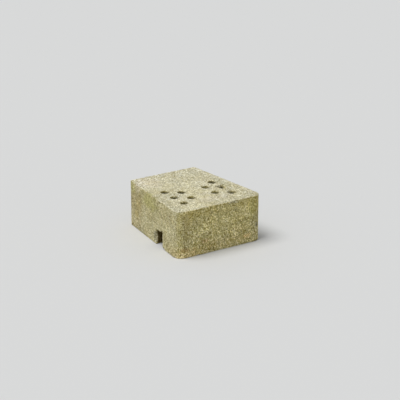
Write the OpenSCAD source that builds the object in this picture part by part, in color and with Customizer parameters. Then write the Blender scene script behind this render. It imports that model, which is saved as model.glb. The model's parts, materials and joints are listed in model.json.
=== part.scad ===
// Dry-laid concrete wall block: a tapered body with upright rounded corners, rows of blind
// pin holes in the top face, and one groove across the underside that takes the pins of the
// course below. X runs across the block, +Y from its wide front face to its narrow back
// face, and Z up from the underside. The origin is the middle of the underside.

/* [Body] */
// Width of the front face, measured to the sharp corners before rounding
front_width = 250; // [220:1:320]
// Width of the back face, measured to the sharp corners before rounding
back_width = 195; // [170:1:240]
// Depth from the front face to the back face
depth = 270; // [240:1:340]
// Height from the underside to the top face
height = 120; // [112:1:160]
// Radius of the two upright corners beside the front face
front_corner_r = 22; // [4:1:40]
// Radius of the two upright corners beside the back face
back_corner_r = 8; // [2:1:30]

/* [Pin line] */
// Distance of the line of the pins behind the front face: both hole pattern and groove centre on it
pin_line_setback = 100; // [90:1:150]

/* [Pin holes] */
// Diameter of one hole
hole_d = 20; // [12:0.5:26]
// Depth of one hole below the top face
hole_depth = 60; // [30:1:70]
// Spacing of the holes along a row, front to back
hole_pitch = 45; // [35:1:55]
// Number of holes in each outer row: each inner row has one fewer, set between them
outer_row_holes = 3; // [2:1:4]
// Distance of the two inner rows from the middle of the block
inner_row_x = 35; // [25:1:45]
// Distance from an inner row to the outer row beside it
row_spacing = 35; // [28:1:45]

/* [Groove] */
// Width of the groove, front to back
groove_width = 35; // [24:1:50]
// Height of the groove's ceiling above the underside
groove_height = 40; // [20:1:50]
// Radius of the two long corners under the groove's ceiling
groove_corner_r = 5; // [1:0.5:10]

/* [Hidden] */

// Concrete cream, as dry as it stands in the yard
concrete_colour = [0.80, 0.77, 0.67];
// How far a cut runs past the face that it opens
cut_past = 5;
// Facets of a drawn circle
$fn = 96;

front_y = -depth / 2;
back_y = depth / 2;
pin_line_y = front_y + pin_line_setback;
outer_row_x = inner_row_x + row_spacing;
inner_row_holes = outer_row_holes - 1;
widest = max(front_width, back_width);

// The four plan corners, anticlockwise from the left end of the front face
plan_corners = [
    [-front_width / 2, front_y],
    [front_width / 2, front_y],
    [back_width / 2, back_y],
    [-back_width / 2, back_y]
];
plan_radii = [front_corner_r, front_corner_r, back_corner_r, back_corner_r];

// The groove's section as [along the depth, up], anticlockwise, with its mouth past the underside
groove_corners = [
    [-groove_width / 2, -cut_past],
    [groove_width / 2, -cut_past],
    [groove_width / 2, groove_height],
    [-groove_width / 2, groove_height]
];
groove_radii = [0, 0, groove_corner_r, groove_corner_r];

function unit(v) = v / norm(v);

// Unit vector from corner i of an outline towards its neighbour, step corners on
function towards(corners, i, step) =
    unit(corners[(i + step + len(corners)) % len(corners)] - corners[i]);

// Half of the angle inside corner i
function half_angle(corners, i) =
    acos(towards(corners, i, -1) * towards(corners, i, 1)) / 2;

// Centre of the arc of radius r that rounds corner i
function arc_centre(corners, i, r) =
    corners[i] + unit(towards(corners, i, -1) + towards(corners, i, 1)) * r / sin(half_angle(corners, i));

// Where the arc leaves the side that runs to the neighbour, step corners on
function tangent_point(corners, i, r, step) =
    corners[i] + towards(corners, i, step) * r / tan(half_angle(corners, i));

// Points of the outline with each rounded corner cut straight across its arc
function cut_outline(corners, radii) = [
    for (i = [0 : len(corners) - 1])
        each radii[i] > 0
            ? [tangent_point(corners, i, radii[i], -1), tangent_point(corners, i, radii[i], 1)]
            : [corners[i]]
];

// A convex outline with a true arc of its own radius at each corner
module rounded_outline(corners, radii) {
    polygon(cut_outline(corners, radii));
    for (i = [0 : len(corners) - 1])
        if (radii[i] > 0)
            translate(arc_centre(corners, i, radii[i]))
                circle(r = radii[i]);
}

module body() {
    linear_extrude(height)
        rounded_outline(plan_corners, plan_radii);
}

// One row of blind holes from front to back, centred on the pin line
module hole_row(x, count) {
    for (i = [0 : count - 1])
        translate([x, pin_line_y + (i - (count - 1) / 2) * hole_pitch, height - hole_depth])
            cylinder(d = hole_d, h = hole_depth + cut_past);
}

module pin_holes() {
    for (side = [-1, 1]) {
        hole_row(side * outer_row_x, outer_row_holes);
        hole_row(side * inner_row_x, inner_row_holes);
    }
}

// The groove, from past one side of the block to past the other
module groove() {
    translate([-widest / 2 - cut_past, pin_line_y, 0])
        rotate([90, 0, 90])
            linear_extrude(widest + 2 * cut_past)
                rounded_outline(groove_corners, groove_radii);
}

module block() {
    color(concrete_colour)
        difference() {
            body();
            pin_holes();
            groove();
        }
}

block();
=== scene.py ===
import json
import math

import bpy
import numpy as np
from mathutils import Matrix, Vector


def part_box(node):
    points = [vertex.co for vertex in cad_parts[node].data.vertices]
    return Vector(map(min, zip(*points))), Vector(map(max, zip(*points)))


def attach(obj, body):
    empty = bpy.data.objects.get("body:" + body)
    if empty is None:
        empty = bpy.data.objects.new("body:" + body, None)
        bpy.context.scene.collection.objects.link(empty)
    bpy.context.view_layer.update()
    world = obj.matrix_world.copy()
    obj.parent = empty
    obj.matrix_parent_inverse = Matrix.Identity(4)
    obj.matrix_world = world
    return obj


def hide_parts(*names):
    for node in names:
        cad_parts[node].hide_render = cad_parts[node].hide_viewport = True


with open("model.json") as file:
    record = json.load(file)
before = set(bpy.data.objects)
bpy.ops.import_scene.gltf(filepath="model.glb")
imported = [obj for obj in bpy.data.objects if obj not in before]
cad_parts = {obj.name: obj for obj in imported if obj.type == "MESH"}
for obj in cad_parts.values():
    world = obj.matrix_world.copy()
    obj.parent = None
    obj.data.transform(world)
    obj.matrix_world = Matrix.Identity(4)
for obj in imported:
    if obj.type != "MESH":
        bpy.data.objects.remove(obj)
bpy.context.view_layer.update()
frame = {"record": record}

# Looks of a dry-laid concrete wall block. One cast piece, weathered_block, stands for the CAD
# node "block". It is the same tapered body, pin holes and groove, held as a signed distance, with
# worn arrises, chips, a spalled groove mouth and small pits taken out of it. Only two crumbs, stuck
# in pin holes, are added, so it never stands outside the CAD's box. Lengths are metres in the CAD
# frame: +Y runs from the wide front face to the narrow back face, and Z goes up from the underside.

# ---------------------------------------------------------------- sizes

MM = 0.001

# The plan, the depth of the holes and the groove, as in the part's source
FRONT_WIDTH = 250 * MM
BACK_WIDTH = 195 * MM
FRONT_CORNER_R = 22 * MM
BACK_CORNER_R = 8 * MM
HOLE_DEPTH = 60 * MM
GROOVE_WIDTH = 35 * MM
GROOVE_HEIGHT = 40 * MM
GROOVE_CORNER_R = 5 * MM

block_low, block_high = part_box("block")
FRONT_Y = block_low.y
BACK_Y = block_high.y
DEPTH = BACK_Y - FRONT_Y
HEIGHT = block_high.z

PIN_PATTERNS = [m for m in frame["record"]["mounts"] if m["kind"] == "bolt_pattern"]
PIN_LINE_Y = PIN_PATTERNS[0]["pos_m"][1]
HOLE_R = PIN_PATTERNS[0]["dims"]["hole_r_mm"] * MM

PLAN_CORNERS = np.array([
    (-FRONT_WIDTH / 2, FRONT_Y),
    (FRONT_WIDTH / 2, FRONT_Y),
    (BACK_WIDTH / 2, BACK_Y),
    (-BACK_WIDTH / 2, BACK_Y),
])
PLAN_RADII = (FRONT_CORNER_R, FRONT_CORNER_R, BACK_CORNER_R, BACK_CORNER_R)

# Mesh: size of a grid cell, and how near the surface the wear is worked out
CELL = 1.95 * MM
BAND = 5 * MM

# Radius round the floor of each hole
HOLE_FLOOR_R = 2 * MM

# Wear: least and most radius of each kind of worn arris, then relief, nicks and crumbs
ARRIS_WEAR = (0.7 * MM, 2.0 * MM)
HOLE_RIM_WEAR = (1.2 * MM, 2.8 * MM)
GROOVE_ARRIS_WEAR = (0.4 * MM, 1.2 * MM)
RELIEF = 0.45 * MM
NICK_DEPTH = 1.5 * MM
NICK_REACH = 6 * MM
NICK_SPAN = (0.35, 0.9)
CRUMB_RAGGEDNESS = 1 * MM

# Noises of the wear and the colours: (cell, seed)
PATCHY_NOISE = (14 * MM, 10)
NICK_NOISE = (7 * MM, 20)
RELIEF_NOISE = (6 * MM, 30)
RAGGED_NOISE = (9 * MM, 40)
WANDER_NOISE = (12 * MM, 60)
FRONT_CLOUD_NOISE = (17 * MM, 70)

TINY = 1e-9


def left_x(y):
    """X of the flat left side at depth y; the right side is its mirror image."""
    share = (y - FRONT_Y) / DEPTH
    return -(FRONT_WIDTH + (BACK_WIDTH - FRONT_WIDTH) * share) / 2


def hole_centres():
    """Plan centre of each pin hole, from the record's hole patterns."""
    centres = []
    for pattern in PIN_PATTERNS:
        x, y, _ = pattern["pos_m"]
        half_x = pattern["dims"]["spacing_x_mm"] * MM / 2
        half_y = pattern["dims"].get("spacing_y_mm", 0) * MM / 2
        for side in (-1, 1):
            for along in ((-1, 1) if half_y else (0,)):
                centres.append((x + side * half_x, y + along * half_y))
    return centres


# ---------------------------------------------------------------- noise

NOISE_PERIOD = 32
NOISE_SHIFT = 0.37
NOISE_GAIN = 1.7
OCTAVE_FALL = 0.55
TURN = np.array([(0.80, 0.36, -0.48), (-0.60, 0.48, -0.64), (0.0, 0.80, 0.60)])


def smooth_noise(points, cell, seed):
    """Seeded gradient noise, about -1 to 1, with features about one cell across."""
    rng = np.random.default_rng(seed)
    slopes = rng.normal(size=(NOISE_PERIOD,) * 3 + (3,))
    slopes /= np.linalg.norm(slopes, axis=-1, keepdims=True)
    place = points @ TURN / cell + NOISE_SHIFT
    base = np.floor(place).astype(int)
    part = place - base
    ease = part ** 3 * (part * (part * 6 - 15) + 10)
    total = np.zeros(len(points))
    for dx in (0, 1):
        for dy in (0, 1):
            for dz in (0, 1):
                step = np.array((dx, dy, dz))
                i, j, k = ((base + step) % NOISE_PERIOD).T
                weight = np.prod(np.where(step, ease, 1 - ease), axis=1)
                total += weight * np.einsum("ij,ij->i", slopes[i, j, k], part - step)
    return total * NOISE_GAIN


def rough_noise(points, cell, seed, octaves=3):
    """Octaves of smooth noise, each half as large and about half as strong as the last."""
    total = np.zeros(len(points))
    for octave in range(octaves):
        total += smooth_noise(points, cell / 2 ** octave, seed + octave) * OCTAVE_FALL ** octave
    return total


def ramp(value, low, high):
    """0 at low, 1 at high, eased between; low may be the larger."""
    share = np.clip((value - low) / (high - low), 0, 1)
    return share * share * (3 - 2 * share)


# ---------------------------------------------------------------- form as a signed distance

def plan_sides():
    """Outward normal and offset of each upright side, anticlockwise from the front."""
    sides = []
    for corner, following in zip(PLAN_CORNERS, np.roll(PLAN_CORNERS, -1, axis=0)):
        along = (following - corner) / np.linalg.norm(following - corner)
        normal = np.array((along[1], -along[0]))
        sides.append((normal, normal @ corner))
    return sides


def plan_distance(points):
    """Signed distance from the upright outline with its rounded corners, negative inside."""
    sides = plan_sides()
    away = [points[:, :2] @ normal - offset for normal, offset in sides]
    distance = np.maximum.reduce(away)
    for i, radius in enumerate(PLAN_RADII):
        (n_before, at_before), (n_after, at_after) = sides[i - 1], sides[i]
        centre = np.linalg.solve([n_before, n_after], [at_before - radius, at_after - radius])
        x, y = (points[:, :2] - centre).T
        past_before = n_before[0] * y - n_before[1] * x >= 0
        short_of_after = x * n_after[1] - y * n_after[0] >= 0
        distance = np.where(past_before & short_of_after, np.hypot(x, y) - radius, distance)
    return distance


def within(a, b, radius):
    """Distance of what lies inside both a and b, with the arris between them worn round."""
    outer = np.hypot(np.maximum(a + radius, 0), np.maximum(b + radius, 0))
    return np.minimum(np.maximum(a, b) + radius, 0) + outer - radius


def pin_hole_distance(points):
    """Signed distance from the nearest pin hole's empty space, negative inside the hole."""
    x, y, z = points.T
    radial = np.minimum.reduce([np.hypot(x - cx, y - cy) for cx, cy in hole_centres()]) - HOLE_R
    return within(radial, HEIGHT - HOLE_DEPTH - z, HOLE_FLOOR_R)


def groove_distance(points):
    """Signed distance from the groove's empty space, negative inside the groove."""
    _, y, z = points.T
    return within(np.abs(y - PIN_LINE_Y) - GROOVE_WIDTH / 2, z - GROOVE_HEIGHT, GROOVE_CORNER_R)


def level_distance(points):
    """Signed distance from the slab between the underside and the top, negative inside."""
    return np.abs(points[:, 2] - HEIGHT / 2) - HEIGHT / 2


def sound_distance(points):
    """Signed distance from the block as it was cast, with every arris sharp."""
    body = np.maximum(plan_distance(points), level_distance(points))
    return np.maximum.reduce([body, -pin_hole_distance(points), -groove_distance(points)])


GROOVE_REAR_Y = PIN_LINE_Y + GROOVE_WIDTH / 2
GROOVE_REAR_X = left_x(GROOVE_REAR_Y)
GROOVE_FRONT_Y = PIN_LINE_Y - GROOVE_WIDTH / 2
GROOVE_FRONT_X = left_x(GROOVE_FRONT_Y)

# Broken places: (what, middle, half sizes along X, Y and Z, how ragged)
SPALLS = [
    ("rear arris of the left groove mouth",
     (GROOVE_REAR_X - 3 * MM, GROOVE_REAR_Y + 3 * MM, 18 * MM), (9 * MM, 11 * MM, 17 * MM), 0.2),
    ("chip in the crown of the left groove mouth",
     (GROOVE_FRONT_X + 1 * MM, GROOVE_FRONT_Y + 6 * MM, 40 * MM), (7 * MM, 8 * MM, 5 * MM), 0.3),
    ("foot of the left side before the groove",
     (GROOVE_FRONT_X - 2 * MM, GROOVE_FRONT_Y, -2 * MM), (9 * MM, 14 * MM, 7 * MM), 0.3),
    ("notch in the front top arris",
     (40 * MM, FRONT_Y - 3 * MM, HEIGHT - 1 * MM), (17 * MM, 5.5 * MM, 5 * MM), 0.5),
    ("knock on the right front corner",
     (108 * MM, FRONT_Y + 1 * MM, 45 * MM), (5 * MM, 5 * MM, 6 * MM), 0.4),
    ("crumbled back rim of the right outer middle hole",
     (66 * MM, -25 * MM, HEIGHT), (8 * MM, 5 * MM, 5 * MM), 0.4),
    ("crumbled back rim of the right outer front hole",
     (68 * MM, -70 * MM, HEIGHT), (7 * MM, 4 * MM, 4 * MM), 0.4),
]

# Crumbs of concrete stuck in two of the holes: (middle, radius)
CRUMBS = [
    ((76 * MM, -38 * MM, 113 * MM), 5.5 * MM),
    ((78 * MM, -84 * MM, 112 * MM), 6.5 * MM),
]


def wear_at(points):
    """Seeded wear at each point: how patchy, how nicked, how high the relief, how ragged."""
    return {
        "patchy": np.clip(rough_noise(points, *PATCHY_NOISE, octaves=2) * 0.5 + 0.5, 0, 1),
        "nicked": ramp(smooth_noise(points, *NICK_NOISE), *NICK_SPAN),
        "relief": np.clip(rough_noise(points, *RELIEF_NOISE, octaves=2) * 0.5 + 0.5, 0, 1),
        "ragged": rough_noise(points, *RAGGED_NOISE),
    }


def spall_distance(points, ragged):
    """Signed distance from the broken places, negative where concrete is gone."""
    distance = np.full(len(points), 1.0)
    for _, middle, half, roughness in SPALLS:
        share = np.linalg.norm((points - middle) / half, axis=1) + ragged * roughness
        distance = np.minimum(distance, (share - 1) * min(half))
    return distance


def crumb_distance(points, ragged):
    """Signed distance from the crumbs stuck in the holes."""
    gaps = [np.linalg.norm(points - middle, axis=1) - radius for middle, radius in CRUMBS]
    return np.minimum.reduce(gaps) + ragged * CRUMB_RAGGEDNESS


def worn_distance(points, wear):
    """Signed distance from the block as it is now."""
    plan = plan_distance(points)
    levels = level_distance(points)
    arris, rim, groove_arris = [
        least + (most - least) * wear["patchy"]
        for least, most in (ARRIS_WEAR, HOLE_RIM_WEAR, GROOVE_ARRIS_WEAR)
    ]
    body = within(plan, levels, arris)
    body = within(body, -pin_hole_distance(points), rim)
    body = within(body, -groove_distance(points), groove_arris)
    near_arris = ramp(np.hypot(plan, levels), NICK_REACH, 0)
    body = body + RELIEF * wear["relief"] + NICK_DEPTH * wear["nicked"] * near_arris
    broken = np.maximum(body, -spall_distance(points, wear["ragged"]))
    return np.minimum(broken, crumb_distance(points, wear["ragged"]))


# ---------------------------------------------------------------- mesh from the distance

GRID_MARGIN = 4
FILLED = -0.1 * CELL
PULL_ROUNDS = 3
PULL_STEP = 0.2 * MM
LEAST_SLOPE_SQUARED = 0.25
NORMAL_STEP = 0.5 * MM


def grid_lines():
    """Sample positions along X, Y and Z, from just outside the block to just outside it."""
    lines = []
    for low, high in zip(block_low, block_high):
        count = math.ceil((high - low) / CELL) + GRID_MARGIN
        middle = (low + high) / 2
        lines.append(middle + (np.arange(count) - (count - 1) / 2) * CELL)
    return lines


def sampled_field():
    """Grid lines and the worn distance on the grid, worked out in full near the surface only."""
    lines = grid_lines()
    grid = np.stack(np.meshgrid(*lines, indexing="ij"), axis=-1)
    points = grid.reshape(-1, 3)
    field = sound_distance(points)
    near = np.abs(field) < BAND
    field[near] = worn_distance(points[near], wear_at(points[near]))
    return lines, field.reshape(grid.shape[:3])


def without_pinches(field):
    """The field with every pinched grid square filled in.

    In a pinched square the solid corners meet only across a diagonal, which would give the mesh
    an edge with four faces.
    """
    field = field.copy()
    while True:
        solid = field < 0
        fill = np.zeros(field.shape, bool)
        for a, b in ((0, 1), (1, 2), (2, 0)):
            beside = np.roll(solid, -1, axis=a)
            above = np.roll(solid, -1, axis=b)
            across = np.roll(beside, -1, axis=b)
            pinched = (solid == across) & (beside == above) & (solid != beside)
            for shift in ((0, 0), (1, 0), (0, 1), (1, 1)):
                fill |= np.roll(pinched, shift, axis=(a, b))
        fill &= ~solid
        if not fill.any():
            return field
        field[fill] = FILLED


def surface_net(lines, field):
    """Closed quad mesh of field = 0: one vertex in each cell that the surface crosses."""
    solid = field < 0
    sizes = np.array(field.shape) - 1
    corners = [(i, j, k) for i in (0, 1) for j in (0, 1) for k in (0, 1)]

    def corner(values, offset):
        i, j, k = offset
        return values[i:i + sizes[0], j:j + sizes[1], k:k + sizes[2]]

    filled = sum(corner(solid, c).astype(int) for c in corners)
    crossed = (filled > 0) & (filled < 8)
    number = np.full(sizes, -1)
    number[crossed] = np.arange(crossed.sum())
    total = np.zeros((crossed.sum(), 3))
    hits = np.zeros(crossed.sum())
    for axis in range(3):
        for c in corners:
            if c[axis]:
                continue
            ahead = tuple(v + (a == axis) for a, v in enumerate(c))
            here, there = corner(field, c)[crossed], corner(field, ahead)[crossed]
            cut = (here < 0) != (there < 0)
            where = np.tile(np.array(c, float), (len(here), 1))
            where[:, axis] += np.where(cut, here / np.where(cut, here - there, 1), 0)
            total += where * cut[:, None]
            hits += cut
    cell_index = np.argwhere(crossed)
    origin = np.array([line[0] for line in lines])
    vertices = origin + (cell_index + total / hits[:, None]) * CELL

    faces = []
    for axis in range(3):
        u, v = (axis + 1) % 3, (axis + 2) % 3
        ahead = [slice(None)] * 3
        ahead[axis] = slice(1, None)
        behind = [slice(None)] * 3
        behind[axis] = slice(None, -1)
        change = solid[tuple(ahead)] != solid[tuple(behind)]
        edges = np.argwhere(change)
        leaving = solid[tuple(behind)][change]
        ring = []
        for du, dv in ((-1, -1), (0, -1), (0, 0), (-1, 0)):
            cell = edges.copy()
            cell[:, u] += du
            cell[:, v] += dv
            ring.append(number[tuple(cell.T)])
        quads = np.stack(ring, axis=1)
        faces.append(np.where(leaving[:, None], quads, quads[:, ::-1]))
    return vertices, np.concatenate(faces)


def gradient(distance, points, step):
    """Slope of a distance at the points, by central differences."""
    slope = np.empty_like(points)
    for axis in range(3):
        shift = np.zeros(3)
        shift[axis] = step
        slope[:, axis] = (distance(points + shift) - distance(points - shift)) / (2 * step)
    return slope


def pull_to_surface(vertices):
    """Newton steps that take the stair steps of the grid out of the mesh."""
    for _ in range(PULL_ROUNDS):
        wear = wear_at(vertices)
        slope = gradient(lambda points: worn_distance(points, wear), vertices, PULL_STEP)
        squared = np.maximum(np.einsum("ij,ij->i", slope, slope), LEAST_SLOPE_SQUARED)
        step = worn_distance(vertices, wear)[:, None] * slope / squared[:, None]
        size = np.linalg.norm(step, axis=1, keepdims=True)
        vertices = vertices - step * np.minimum(1, CELL / 2 / np.maximum(size, TINY))
    return vertices


def unit_normals(points):
    """Outward normal of the sound block at each point."""
    slope = gradient(sound_distance, points, NORMAL_STEP)
    return slope / np.maximum(np.linalg.norm(slope, axis=1, keepdims=True), TINY)


# ---------------------------------------------------------------- pits

PIT_COUNT = 420
PIT_SEED = 5
PIT_R = (1.8 * MM, 3.6 * MM)
PIT_SIZES = (0.8, 1.0)
PIT_DEPTH = 0.55


def pitted(vertices, normals):
    """Small air holes and missing grains, pressed into the surface. Returns the depth too."""
    rng = np.random.default_rng(PIT_SEED)
    depth = np.zeros(len(vertices))
    for at in rng.choice(len(vertices), PIT_COUNT, replace=False):
        radius = rng.uniform(*PIT_R) * rng.uniform(*PIT_SIZES)
        box = np.abs(vertices - vertices[at]).max(axis=1) < radius
        gap = np.linalg.norm(vertices[box] - vertices[at], axis=1) / radius
        bowl = PIT_DEPTH * radius * np.clip(1 - gap ** 2, 0, 1)
        depth[box] = np.maximum(depth[box], bowl)
    return vertices - normals * depth[:, None], depth


# ---------------------------------------------------------------- colours of the concrete

# Face colours are lit and shaded copies of one concrete: the paler top is painted light, the darker,
# yellower sides and front are painted shade.
LIT_TOP_COLOUR = (0.655, 0.598, 0.361)
SHADED_SIDE_COLOUR = (0.545, 0.480, 0.236)
SHADED_FRONT_COLOUR = (0.556, 0.479, 0.172)
# Painted shade down the pin holes and inside the groove
HOLE_SHADE_COLOUR = (0.290, 0.262, 0.125)
GROOVE_SHADE_COLOUR = (0.122, 0.086, 0.018)
SPALL_COLOUR = (0.345, 0.312, 0.172)
SPALL_STRENGTH = 0.6
SPALL_FADE = (1.2 * MM, 0)
# Painted shade in the pits, growing with their depth
PIT_PAINTED_SHADE = 0.35
PIT_FADE = (0, 1.2 * MM)
FRONT_CLOUDINESS = 0.05

# Part of the normal along an axis at which a vertex starts to face that way, and faces it in full
FACING_UP = (0.25, 0.85)
FACING_FRONT_OR_BACK = (0.2, 0.9)
FACING_LEFT = (0.3, 0.8)

# X at which a vertex starts to lie on the left side, and lies on it in full
LEFT_HALF_X = (-60 * MM, -80 * MM)

# How strongly the sand grains and air holes show on each face, and how much browner the dark
# specks are than the pale ones: a power of the speckle in the green and the blue channel
COARSENESS = {"side": 1.44, "front": 1.54, "back": 1.15, "top": 1.60}
BLUE_POWER = {"side": 1.68, "front": 2.05, "back": 1.68, "top": 1.68}
GREEN_POWER = 1.13

# Depth at which painted shade starts down each pin hole, in the order of hole_centres(); it starts
# higher in some holes than in others.
# The groove gets painted shade behind its mouth and above the floor.
HOLE_SHADE_FROM = [
    4.0 * MM, 2.3 * MM,  # left outer, front and back
    2.6 * MM, 1.8 * MM,  # right outer, front and back
    3.0 * MM, 2.0 * MM,  # left and right outer middle
    4.8 * MM, 2.3 * MM,  # left inner, front and back
    3.8 * MM, 4.8 * MM,  # right inner, front and back
]
HOLE_SHADE_SPAN = 2.6 * MM
HOLLOW_EDGE = (3 * MM, 1.5 * MM)
GROOVE_SHADE_SPAN = (1.5 * MM, 6 * MM)
GROOVE_FOOT_SPAN = (0, 3 * MM)

# The left side changes tone at an upright line near its back, where the mould's plates met
MOULD_LINE_Y = 68 * MM
MOULD_LINE_WIDTH = 5 * MM
MOULD_LINE_BLUR = 1 * MM
MOULD_LINE_FADE = (15 * MM, 55 * MM)
MOULD_LINE_SHADE = 0.32
BEHIND_LINE_TINT = (0.94, 0.91, 0.89)

# Stains: (what, middle and half sizes in millimetres, colour it multiplies by). The front face is
# at y -135 and the top at z 120.
STAINS = [
    ("olive growth under the left top arris",
     (-110, 22, 100), (16, 50, 22), (0.85, 0.87, 0.66)),
    ("olive smear ahead of the growth",
     (-113, -24, 90), (16, 20, 18), (0.87, 0.87, 0.83)),
    ("ochre tinge beside the mould line",
     (-104, 76, 78), (12, 18, 28), (0.97, 0.95, 0.88)),
    ("pale patch between the groove and the corner",
     (-118, -68, 58), (14, 24, 20), (1.08, 1.10, 1.14)),
    ("brown bloom at the back of the left side",
     (-101, 104, 66), (16, 34, 34), (0.89, 0.865, 0.79)),
    ("pale spot in the brown bloom",
     (-102, 94, 40), (10, 13, 12), (1.05, 1.03, 0.93)),
    ("pale fleck above it",
     (-103, 86, 70), (8, 10, 9), (1.14, 1.13, 1.12)),
    ("dull foot at the back of the left side",
     (-105, 74, 6), (10, 24, 9), (0.81, 0.82, 0.80)),
    ("green top of the back left corner",
     (-99, 122, 106), (14, 20, 16), (0.96, 1.00, 0.80)),
    # A darker band where the rounded left front corner meets the front face
    ("darker band down the left front corner",
     (-99, -135, 68), (13, 12, 46), (0.80, 0.78, 0.76)),
    ("ochre head of the left front corner",
     (-92, -135, 100), (16, 12, 26), (0.97, 0.94, 0.85)),
    ("yellow foot of the left front corner",
     (-104, -128, 8), (60, 50, 16), (1.00, 0.935, 0.83)),
    ("dark rusty spot near the foot of the corner",
     (-100, -134, 21), (11, 10, 6), (0.75, 0.66, 0.58)),
    ("scuffed foot of the corner",
     (-90, -132, 3), (32, 22, 13), (1.28, 1.26, 1.37)),
    ("dull strip under the front top arris",
     (0, -135, 111), (150, 10, 14), (0.98, 0.96, 0.90)),
    ("warm dull foot of the front",
     (15, -135, 17), (96, 10, 14), (0.97, 0.93, 0.88)),
    ("pale band across the upper front",
     (45, -135, 80), (62, 10, 13), (1.15, 1.16, 1.22)),
    ("grey patch on the left of the front",
     (-54, -135, 64), (24, 10, 14), (1.22, 1.25, 1.36)),
    ("pale patch on the right of the front",
     (44, -135, 44), (26, 10, 14), (1.16, 1.15, 1.16)),
    ("dark right end of the front",
     (104, -137, 56), (16, 14, 32), (0.82, 0.82, 0.85)),
    ("dull patch high on the left of the front",
     (-71, -135, 76), (17, 10, 13), (0.86, 0.86, 0.86)),
    ("pale fleck in the grey patch",
     (-38, -135, 70), (13, 10, 10), (1.22, 1.23, 1.27)),
    ("dull fleck under it",
     (-38, -135, 50), (13, 10, 9), (0.86, 0.86, 0.86)),
    ("pale drip on the left half of the front",
     (-19, -135, 82), (10, 10, 44), (1.10, 1.10, 1.11)),
    ("pale drip near the right end of the front",
     (80, -135, 98), (10, 10, 26), (1.13, 1.12, 1.16)),
    ("rusty spot low on the front",
     (-46, -135, 35), (11, 10, 6), (0.88, 0.78, 0.70)),
    ("pale rusty spot low on the right of the front",
     (79, -135, 21), (9, 10, 6), (1.34, 1.24, 1.34)),
    ("olive right end of the front",
     (98, -135, 98), (26, 20, 26), (0.94, 0.94, 0.80)),
    ("grey bloom at the back of the top",
     (-70, 90, 120), (36, 38, 10), (1.13, 1.11, 1.18)),
    ("pale front left of the top",
     (-60, -108, 120), (34, 22, 10), (1.11, 1.11, 1.11)),
    ("dull back right of the top",
     (66, 90, 120), (16, 28, 10), (0.91, 0.91, 0.89)),
    ("dull strip right of the holes",
     (89, -4, 120), (13, 36, 10), (0.87, 0.88, 0.86)),
    ("dull strip between the left outer holes",
     (-88, -12, 120), (38, 12, 10), (0.88, 0.88, 0.86)),
    ("pale left front corner of the top",
     (-84, -124, 120), (30, 13, 8), (1.12, 1.13, 1.16)),
    ("dull right front corner of the top",
     (102, -124, 120), (20, 14, 8), (0.85, 0.84, 0.82)),
    ("grey bloom on the front right of the top",
     (5, -90, 120), (50, 18, 10), (1.03, 1.02, 1.08)),
    ("pale middle of the top",
     (-5, -20, 120), (40, 60, 10), (1.06, 1.06, 1.04)),
    ("dull left front of the top",
     (-104, -95, 120), (16, 48, 10), (0.92, 0.92, 0.90)),
    ("pale scrape on the middle of the top",
     (9, -53, 120), (24, 12, 10), (1.05, 1.05, 1.12)),
    ("dark mark near the back of the top",
     (48, 62, 120), (3, 9, 10), (0.72, 0.72, 0.66)),
    ("dark fleck on the left of the front",
     (-63, -135, 47), (3, 10, 3), (0.45, 0.45, 0.40)),
    ("yellow right of the top",
     (85, -60, 120), (34, 60, 10), (0.985, 0.975, 0.935)),
]

# Where the grain lies more open or more closed than on the rest of its face:
# (what, middle and half sizes in millimetres, factor on its strength)
GRAIN_PATCHES = [
    ("open right margin of the top",
     (112, 0, 120), (38, 190, 12), 1.10),
    ("open back margin of the top",
     (0, 132, 120), (150, 40, 12), 1.10),
    ("closed middle front of the top",
     (-12, -85, 120), (62, 58, 12), 0.82),
    ("closed left rear of the top",
     (-72, 45, 120), (58, 50, 12), 0.80),
    ("open foot of the front",
     (0, -135, 14), (170, 20, 44), 1.12),
    ("closed upper front",
     (20, -135, 92), (130, 20, 44), 0.92),
    ("open back of the left side",
     (-104, 104, 60), (20, 54, 110), 1.15),
    ("open foot of the left side",
     (-112, 0, 6), (30, 160, 26), 1.12),
]
PATCH_EDGE = (1.25, 0.55)
PATCH_WANDER = 0.35


def painted_hollow_shade(points):
    """How far each vertex lies in the painted shade down a pin hole, and in the painted shade inside
    the groove, 0 to 1.
    """
    x, y, z = points.T
    sunk = HEIGHT - z
    away = np.stack([np.hypot(x - cx, y - cy) for cx, cy in hole_centres()])
    shade_depth = np.array(HOLE_SHADE_FROM)[away.argmin(axis=0)]
    in_hole = ramp(pin_hole_distance(points), *HOLLOW_EDGE)
    in_groove = ramp(groove_distance(points), *HOLLOW_EDGE)
    hole_shade_share = in_hole * ramp(sunk, shade_depth, shade_depth + HOLE_SHADE_SPAN)
    behind_mouth = ramp(-plan_distance(points), *GROOVE_SHADE_SPAN)
    groove_shade_share = in_groove * behind_mouth * ramp(z, *GROOVE_FOOT_SPAN)
    return hole_shade_share, groove_shade_share


def facing(normals):
    """How far each vertex faces up, to the front and to the back, 0 to 1."""
    upward = ramp(normals[:, 2], *FACING_UP)
    frontal = ramp(-normals[:, 1], *FACING_FRONT_OR_BACK)
    backward = ramp(normals[:, 1], *FACING_FRONT_OR_BACK)
    return upward, frontal, backward


def by_face(normals, values):
    """One value for each vertex, blended between the values of the faces it lies on."""
    upward, frontal, backward = facing(normals)
    blended = values["side"] + (values["front"] - values["side"]) * frontal
    blended += (values["back"] - blended) * backward
    return blended + (values["top"] - blended) * upward


def patch_shares(points, patches):
    """For each patch, how far each vertex lies in it, 0 to 1, and the change that it makes there.

    The edge of a patch is soft and wanders.
    """
    wander = rough_noise(points, *WANDER_NOISE)
    for _, middle, half, change in patches:
        reach = (points - np.array(middle) * MM) / (np.array(half) * MM)
        away = np.linalg.norm(reach, axis=1) + wander * PATCH_WANDER
        yield ramp(away, *PATCH_EDGE), np.array(change)


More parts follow.
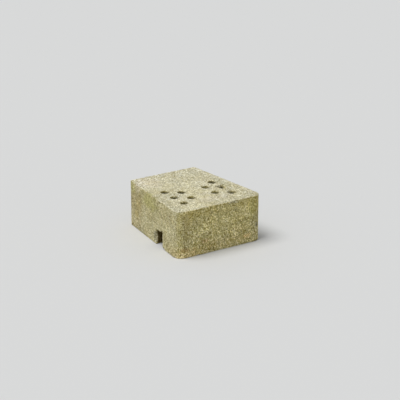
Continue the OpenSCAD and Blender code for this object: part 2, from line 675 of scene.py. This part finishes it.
def grain_strength(points, normals):
    """How strongly the sand grains and air holes show at each vertex."""
    strength = by_face(normals, COARSENESS)
    for share, factor in patch_shares(points, GRAIN_PATCHES):
        strength *= 1 + share * (factor - 1)
    return strength


def mixed(colour, other, share):
    """The colour of each vertex, moved by its share towards the other colour."""
    return colour + (np.array(other) - colour) * share[:, None]


def beside_mould_line(points, normals):
    """How far each vertex lies behind the mould line on the left side, and how far on it, 0 to 1."""
    x, y, z = points.T
    on_left = ramp(x, *LEFT_HALF_X) * ramp(-normals[:, 0], *FACING_LEFT)
    behind = on_left * ramp(y, MOULD_LINE_Y - MOULD_LINE_BLUR, MOULD_LINE_Y + MOULD_LINE_BLUR)
    on_line = on_left * ramp(np.abs(y - MOULD_LINE_Y), MOULD_LINE_WIDTH / 2, 0)
    return behind, on_line * ramp(z, *MOULD_LINE_FADE)


def concrete_colours(points, normals, pit_depth):
    """Base colour of each vertex before the grain: lit and shaded faces (painted light on the top,
    painted shade on the sides and front), hollows with painted shade, broken places, stains, and
    painted shade in the pits.
    """
    upward, frontal, _ = facing(normals)
    # Sides, front and top take the shaded and lit copies of the concrete colour: painted shade and
    # painted light
    colour = mixed(np.tile(SHADED_SIDE_COLOUR, (len(points), 1)), SHADED_FRONT_COLOUR, frontal)
    colour = mixed(colour, LIT_TOP_COLOUR, upward)

    colour *= 1 + (FRONT_CLOUDINESS * frontal * rough_noise(points, *FRONT_CLOUD_NOISE))[:, None]
    for share, tint in patch_shares(points, STAINS):
        colour *= 1 + share[:, None] * (tint - 1)
    behind, on_line = beside_mould_line(points, normals)
    colour *= 1 + behind[:, None] * (np.array(BEHIND_LINE_TINT) - 1)
    colour *= 1 - MOULD_LINE_SHADE * on_line[:, None]

    broken = spall_distance(points, rough_noise(points, *RAGGED_NOISE))
    colour = mixed(colour, SPALL_COLOUR, ramp(broken, *SPALL_FADE) * SPALL_STRENGTH)
    # Painted shade down the pin holes and inside the groove
    hole_shade_share, groove_shade_share = painted_hollow_shade(points)
    colour = mixed(colour, HOLE_SHADE_COLOUR, hole_shade_share)
    colour = mixed(colour, GROOVE_SHADE_COLOUR, groove_shade_share)
    # Painted shade in the pits
    return colour * (1 - PIT_PAINTED_SHADE * ramp(pit_depth, *PIT_FADE)[:, None])


# ---------------------------------------------------------------- material

def add_node(tree, kind, **settings):
    """A new node with the given properties set."""
    node = tree.nodes.new(kind)
    for name, value in settings.items():
        setattr(node, name, value)
    return node


def feed(tree, socket, value):
    """Links a socket to another socket, or sets it to a plain value."""
    if isinstance(value, bpy.types.NodeSocket):
        tree.links.new(value, socket)
    else:
        socket.default_value = value


def noise(tree, vector, scale, detail=2.0, roughness=0.5):
    """Fractal noise at the vector's place, about 0 to 1."""
    node = add_node(tree, "ShaderNodeTexNoise")
    feed(tree, node.inputs["Vector"], vector)
    node.inputs["Scale"].default_value = scale
    node.inputs["Detail"].default_value = detail
    node.inputs["Roughness"].default_value = roughness
    return node.outputs["Fac"]


def grain_values(tree, vector, scale):
    """One random value, 0 to 1, for the whole of each grain."""
    node = add_node(tree, "ShaderNodeTexVoronoi", feature="F1")
    feed(tree, node.inputs["Vector"], vector)
    node.inputs["Scale"].default_value = scale
    split = add_node(tree, "ShaderNodeSeparateColor")
    feed(tree, split.inputs["Color"], node.outputs["Color"])
    return split.outputs["Red"]


def remap(tree, value, low, high, to_low, to_high):
    """The value, eased from one range to another and held at its ends."""
    node = add_node(tree, "ShaderNodeMapRange", interpolation_type="SMOOTHSTEP")
    feed(tree, node.inputs["Value"], value)
    ends = {"From Min": low, "From Max": high, "To Min": to_low, "To Max": to_high}
    for name, number in ends.items():
        node.inputs[name].default_value = number
    return node.outputs["Result"]


def maths(tree, operation, a, b):
    """One operation on two values."""
    node = add_node(tree, "ShaderNodeMath", operation=operation)
    feed(tree, node.inputs[0], a)
    feed(tree, node.inputs[1], b)
    return node.outputs["Value"]


def folded(tree, operation, values):
    """All the values together: their sum with ADD, their product with MULTIPLY."""
    total = values[0]
    for value in values[1:]:
        total = maths(tree, operation, total, value)
    return total


def blend(tree, mode, share, a, b):
    """Two colours mixed in the given mode."""
    node = add_node(tree, "ShaderNodeMix", data_type="RGBA", blend_type=mode)
    feed(tree, node.inputs["Factor"], share)
    feed(tree, node.inputs["A"], a)
    feed(tree, node.inputs["B"], b)
    return node.outputs["Result"]


# Noises: scale in features per metre, detail, roughness
BROAD_NOISES = {
    "cloud": (24, 3, 0.55),
    "mottle": (80, 2, 0.50),
}
GRAIN_NOISES = {
    "blotch": (220, 2, 0.60),
    "sand": (680, 2, 0.65),
    "dust": (1400, 2, 0.60),
    "gaps": (560, 3, 0.60),
}
STREAK = (150, 2, 0.50)
STREAK_STRETCH = (1, 1, 0.12)
GRAIN_STRETCH = (1.15, 1.15, 0.75)
GRAIN_SCALES = {"grain": 490, "fine grain": 850}
WOBBLE = (600, 1)
WOBBLE_REACH = 2.5 * MM

# Spans of a noise that count as its whole range
BROAD_SPAN = (0.3, 0.7)
SPECKLE_SPAN = (0.25, 0.75)
GREYNESS_SPAN = (0.38, 0.62)
WHOLE = (0, 1)

# What each layer does: broad ones multiply the vertex colour, which holds painted light and shade,
# speckles are added up first
BROAD_SHADES = {"cloud": (0.97, 1.03), "mottle": (0.91, 1.09)}
STREAK_SHADES = (0.95, 1.05)
SPECKLES = {"blotch": (-0.02, 0.02), "sand": (-0.45, 0.43), "dust": (-0.10, 0.10)}
GRAIN_SPECKLES = {"grain": (-0.28, 0.27), "fine grain": (-0.14, 0.14)}
# Air voids darken the colour as painted shade
VOID_PAINTED_SHADE = (0.09, -0.55)
VOID_EDGES = (0.45, 0.37)
DARKEST_SPECKLE = 0.2
BROWN_CLOUD = (1.0, 0.985, 0.95, 1)
GREY_CLOUD = (1.0, 1.003, 1.03, 1)

CONCRETE_ROUGHNESS = 0.92
CONCRETE_SPECULAR = 0.25

# Relief too fine for the mesh
BUMP_SHARES = {"sand": 1.0, "dust": 0.4, "grain": 0.25, "void": -0.9}
BUMP_STRENGTH = 0.7
BUMP_DISTANCE = 1.0 * MM


def stretched(tree, place, scale):
    """The place with each axis scaled, so that what is drawn there comes out longer or finer."""
    node = add_node(tree, "ShaderNodeMapping")
    feed(tree, node.inputs["Vector"], place)
    node.inputs["Scale"].default_value = scale
    return node.outputs["Vector"]


def noise_layers(tree, place):
    """Every noise, grain and void of the concrete, by name.

    The grains are drawn out upright, the way the block was pushed from its mould.
    """
    layers = {name: noise(tree, place, *settings) for name, settings in BROAD_NOISES.items()}
    layers["streak"] = noise(tree, stretched(tree, place, STREAK_STRETCH), *STREAK)
    drawn = stretched(tree, place, GRAIN_STRETCH)
    for name, settings in GRAIN_NOISES.items():
        layers[name] = noise(tree, drawn, *settings)
    wobble = maths(tree, "MULTIPLY", noise(tree, drawn, *WOBBLE), WOBBLE_REACH)
    shaken = add_node(tree, "ShaderNodeVectorMath", operation="ADD")
    feed(tree, shaken.inputs[0], drawn)
    feed(tree, shaken.inputs[1], wobble)
    for name, scale in GRAIN_SCALES.items():
        layers[name] = grain_values(tree, shaken.outputs["Vector"], scale)
    layers["void"] = remap(tree, layers["gaps"], *VOID_EDGES, *WHOLE)
    return layers


def grain_tone(tree, layers, top, coarse, blue_power):
    """Colour that the base colour is multiplied by: clouds and streaks, grains, and voids darkened
    as painted shade.
    """
    def each(shades, span):
        return [remap(tree, layers[name], *span, *ends) for name, ends in shades.items()]

    streak = remap(tree, layers["streak"], *BROAD_SPAN, *STREAK_SHADES)
    broad = each(BROAD_SHADES, BROAD_SPAN) + [maths(tree, "MAXIMUM", streak, top)]
    shade = folded(tree, "MULTIPLY", broad)

    specks = each(SPECKLES, SPECKLE_SPAN) + each(GRAIN_SPECKLES, WHOLE)
    specks.append(remap(tree, layers["void"], *WHOLE, *VOID_PAINTED_SHADE))
    speckle = maths(tree, "MULTIPLY", folded(tree, "ADD", specks), coarse)
    level = maths(tree, "MAXIMUM", maths(tree, "ADD", speckle, 1.0), DARKEST_SPECKLE)

    tone = add_node(tree, "ShaderNodeCombineColor")
    for channel, power in (("Red", 1.0), ("Green", GREEN_POWER), ("Blue", blue_power)):
        value = maths(tree, "POWER", level, power)
        feed(tree, tone.inputs[channel], maths(tree, "MULTIPLY", shade, value))
    return tone.outputs["Color"]


def vertex_value(tree, name, output):
    """What the mesh stores at each vertex under this name."""
    return add_node(tree, "ShaderNodeAttribute", attribute_name=name).outputs[output]


def concrete_material():
    """Colours of the vertices, with their stains and painted light and shade, under procedural
    clouds, grains and voids, with a fine bump.
    """
    material = bpy.data.materials.new("weathered_concrete")
    material.use_nodes = True
    tree = material.node_tree
    shader = tree.nodes["Principled BSDF"]
    place = add_node(tree, "ShaderNodeTexCoord").outputs["Object"]
    # Vertex colour: stains with painted light on the top and painted shade on the sides, holes,
    # groove and pits
    cast = vertex_value(tree, "colour_with_painted_light_and_shade", "Color")
    top = vertex_value(tree, "upward", "Fac")
    coarse = vertex_value(tree, "coarseness", "Fac")
    blue_power = vertex_value(tree, "blue_power", "Fac")
    layers = noise_layers(tree, place)

    greyness = remap(tree, layers["cloud"], *GREYNESS_SPAN, *WHOLE)
    tint = blend(tree, "MIX", greyness, BROWN_CLOUD, GREY_CLOUD)
    colour = blend(tree, "MULTIPLY", 1.0, cast, tint)
    tone = grain_tone(tree, layers, top, coarse, blue_power)
    colour = blend(tree, "MULTIPLY", 1.0, colour, tone)
    feed(tree, shader.inputs["Base Color"], colour)
    shader.inputs["Roughness"].default_value = CONCRETE_ROUGHNESS
    shader.inputs["Specular IOR Level"].default_value = CONCRETE_SPECULAR

    heights = [maths(tree, "MULTIPLY", layers[name], share) for name, share in BUMP_SHARES.items()]
    bump = add_node(tree, "ShaderNodeBump")
    feed(tree, bump.inputs["Height"], folded(tree, "ADD", heights))
    bump.inputs["Strength"].default_value = BUMP_STRENGTH
    bump.inputs["Distance"].default_value = BUMP_DISTANCE
    feed(tree, shader.inputs["Normal"], bump.outputs["Normal"])
    return material


# ---------------------------------------------------------------- the block

def store(mesh, name, kind, field, values):
    """Writes one attribute with a value for each vertex."""
    attribute = mesh.attributes.new(name, kind, "POINT")
    attribute.data.foreach_set(field, np.ascontiguousarray(values, np.float32).ravel())


def make_block():
    """The one visual piece, in place of the CAD node "block"."""
    lines, field = sampled_field()
    vertices, faces = surface_net(lines, without_pinches(field))
    vertices = pull_to_surface(vertices)
    normals = unit_normals(vertices)
    vertices, pit_depth = pitted(vertices, normals)
    vertices = np.clip(vertices, np.array(block_low), np.array(block_high))

    mesh = bpy.data.meshes.new("weathered_block")
    mesh.from_pydata(vertices.tolist(), [], faces.tolist())
    mesh.update()
    mesh.validate()
    mesh.polygons.foreach_set("use_smooth", [True] * len(mesh.polygons))
    colours = concrete_colours(vertices, normals, pit_depth)
    opaque = np.ones((len(colours), 1))
    store(mesh, "colour_with_painted_light_and_shade", "FLOAT_COLOR", "color", np.hstack([colours, opaque]))
    store(mesh, "upward", "FLOAT", "value", facing(normals)[0])
    store(mesh, "coarseness", "FLOAT", "value", grain_strength(vertices, normals))
    store(mesh, "blue_power", "FLOAT", "value", by_face(normals, BLUE_POWER))
    block = bpy.data.objects.new("weathered_block", mesh)
    bpy.context.scene.collection.objects.link(block)
    mesh.materials.append(concrete_material())
    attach(block, "root")
    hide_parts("block")


# ---------------------------------------------------------------- floor, light and camera

FLOOR_SIZE = 12.0
FLOOR_COLOUR = (0.72, 0.72, 0.71, 1)
FLOOR_ROUGHNESS = 0.95
FLOOR_SPECULAR = 0.1
SKY_COLOUR = (0.95, 0.97, 1.0, 1)
SKY_STRENGTH = 0.42
KEY_FROM = Vector((-0.36, 0.10, 0.92))
KEY_POWER = 1.9
KEY_SOFTNESS = math.radians(35)

CAMERA_AZIMUTH = math.radians(-33.02)
CAMERA_ELEVATION = math.radians(20.25)
CAMERA_DISTANCE = 3.385
CAMERA_LENS = 118.7
CAMERA_SENSOR = 36
CAMERA_REACH = 50
CAMERA_TARGET = Vector((0.0610, 0.0514, HEIGHT / 2))


def make_floor():
    """A plain pale floor under the block."""
    mesh = bpy.data.meshes.new("floor")
    half = FLOOR_SIZE / 2
    corners = [(-half, -half, 0), (half, -half, 0), (half, half, 0), (-half, half, 0)]
    mesh.from_pydata(corners, [], [(0, 1, 2, 3)])
    floor = bpy.data.objects.new("floor", mesh)
    bpy.context.scene.collection.objects.link(floor)
    material = bpy.data.materials.new("pale_floor")
    material.use_nodes = True
    shader = material.node_tree.nodes["Principled BSDF"]
    shader.inputs["Base Color"].default_value = FLOOR_COLOUR
    shader.inputs["Roughness"].default_value = FLOOR_ROUGHNESS
    shader.inputs["Specular IOR Level"].default_value = FLOOR_SPECULAR
    mesh.materials.append(material)


def make_light():
    """A soft sky and one soft lamp from above, behind and to the left."""
    world = bpy.data.worlds.new("soft_sky")
    bpy.context.scene.world = world
    world.use_nodes = True
    background = world.node_tree.nodes["Background"]
    background.inputs["Color"].default_value = SKY_COLOUR
    background.inputs["Strength"].default_value = SKY_STRENGTH
    lamp = bpy.data.lights.new("key", "SUN")
    lamp.energy = KEY_POWER
    lamp.angle = KEY_SOFTNESS
    key = bpy.data.objects.new("key", lamp)
    key.rotation_mode = "QUATERNION"
    key.rotation_quaternion = KEY_FROM.to_track_quat("Z", "Y")
    bpy.context.scene.collection.objects.link(key)


def make_camera():
    """The photograph's viewpoint."""
    data = bpy.data.cameras.new("camera")
    data.lens = CAMERA_LENS
    data.sensor_width = CAMERA_SENSOR
    data.clip_end = CAMERA_REACH
    camera = bpy.data.objects.new("camera", data)
    back = Vector((
        math.sin(CAMERA_AZIMUTH) * math.cos(CAMERA_ELEVATION),
        -math.cos(CAMERA_AZIMUTH) * math.cos(CAMERA_ELEVATION),
        math.sin(CAMERA_ELEVATION),
    ))
    camera.location = CAMERA_TARGET + back * CAMERA_DISTANCE
    camera.rotation_mode = "QUATERNION"
    camera.rotation_quaternion = (-back).to_track_quat("-Z", "Y")
    bpy.context.scene.collection.objects.link(camera)
    bpy.context.scene.camera = camera


bpy.context.scene.view_settings.view_transform = "Standard"
make_block()
make_floor()
make_light()
make_camera()
